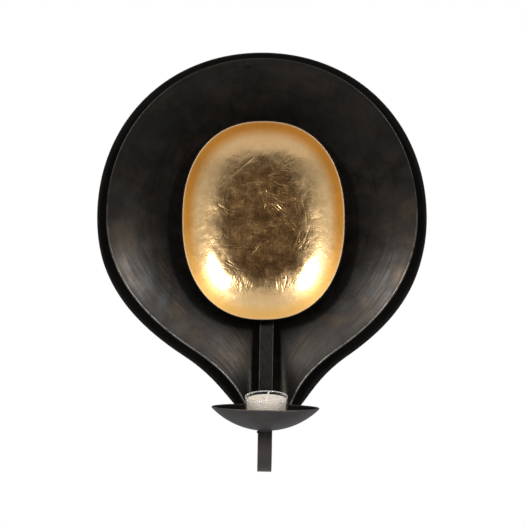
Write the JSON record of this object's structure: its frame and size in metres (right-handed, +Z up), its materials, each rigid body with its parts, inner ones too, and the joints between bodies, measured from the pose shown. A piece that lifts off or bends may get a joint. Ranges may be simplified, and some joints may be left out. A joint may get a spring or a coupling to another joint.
{
  "type": "wall sconce candle holder",
  "caption": "Pear-shaped dished wall plate with an oval gold-leaf reflector and a hooked flat arm that carries a round bowl with a tealight.",
  "frame": {"origin": "centre of the keyhole's round hole in the hanger plate, in the plane of the wall", "axes": "+Y towards the wall, out of the back; +Z up as it hangs; +X to the right seen from the front"},
  "size_m": [0.303, 0.1343, 0.3807],
  "materials": {
    "black_steel": "matt black paint with worn edges",
    "bronzed_steel": "dark bronze patina, brushed",
    "arm_steel": "dark patina, drawn lengthways",
    "bowl_steel": "dark brown patina, spun",
    "raw_steel": "dark steel",
    "gold": "wrinkled gold leaf, burnished",
    "zinc": "zinc plated",
    "pad": "matt rubber",
    "clear_cup": "clear",
    "wax": "paraffin wax",
    "cotton": "waxed cotton",
    "tin": "plain"
  },
  "bodies": {
    "sconce": {"back_shell": "black_steel", "front_dish": "bronzed_steel", "rim_posts": "bronzed_steel", "hanger_plate": "zinc", "hanger_rivets": "zinc", "wall_pads": "pad", "support_arm": "arm_steel", "arm_rivets": "raw_steel", "reflector_dish": "black_steel", "gold_leaf": "gold", "reflector_stud": "zinc", "stud_washer": "zinc", "stud_nut": "zinc", "candle_bowl": "bowl_steel", "bowl_weld": "raw_steel"},
    "tealight": {"tealight_cup": "clear_cup"},
    "candle": {"candle_wax": "wax", "wick": "cotton", "wick_sustainer": "tin"}
  },
  "joints": [
    {"name": "tealight_lift", "type": "slide", "parent": "sconce", "child": "tealight", "axis": [0, -0.1908, 0.9816], "range_m": [0, 0.06]},
    {"name": "candle_lift", "type": "slide", "parent": "tealight", "child": "candle", "axis": [0, -0.1908, 0.9816], "range_m": [0, 0.04]}
  ]
}
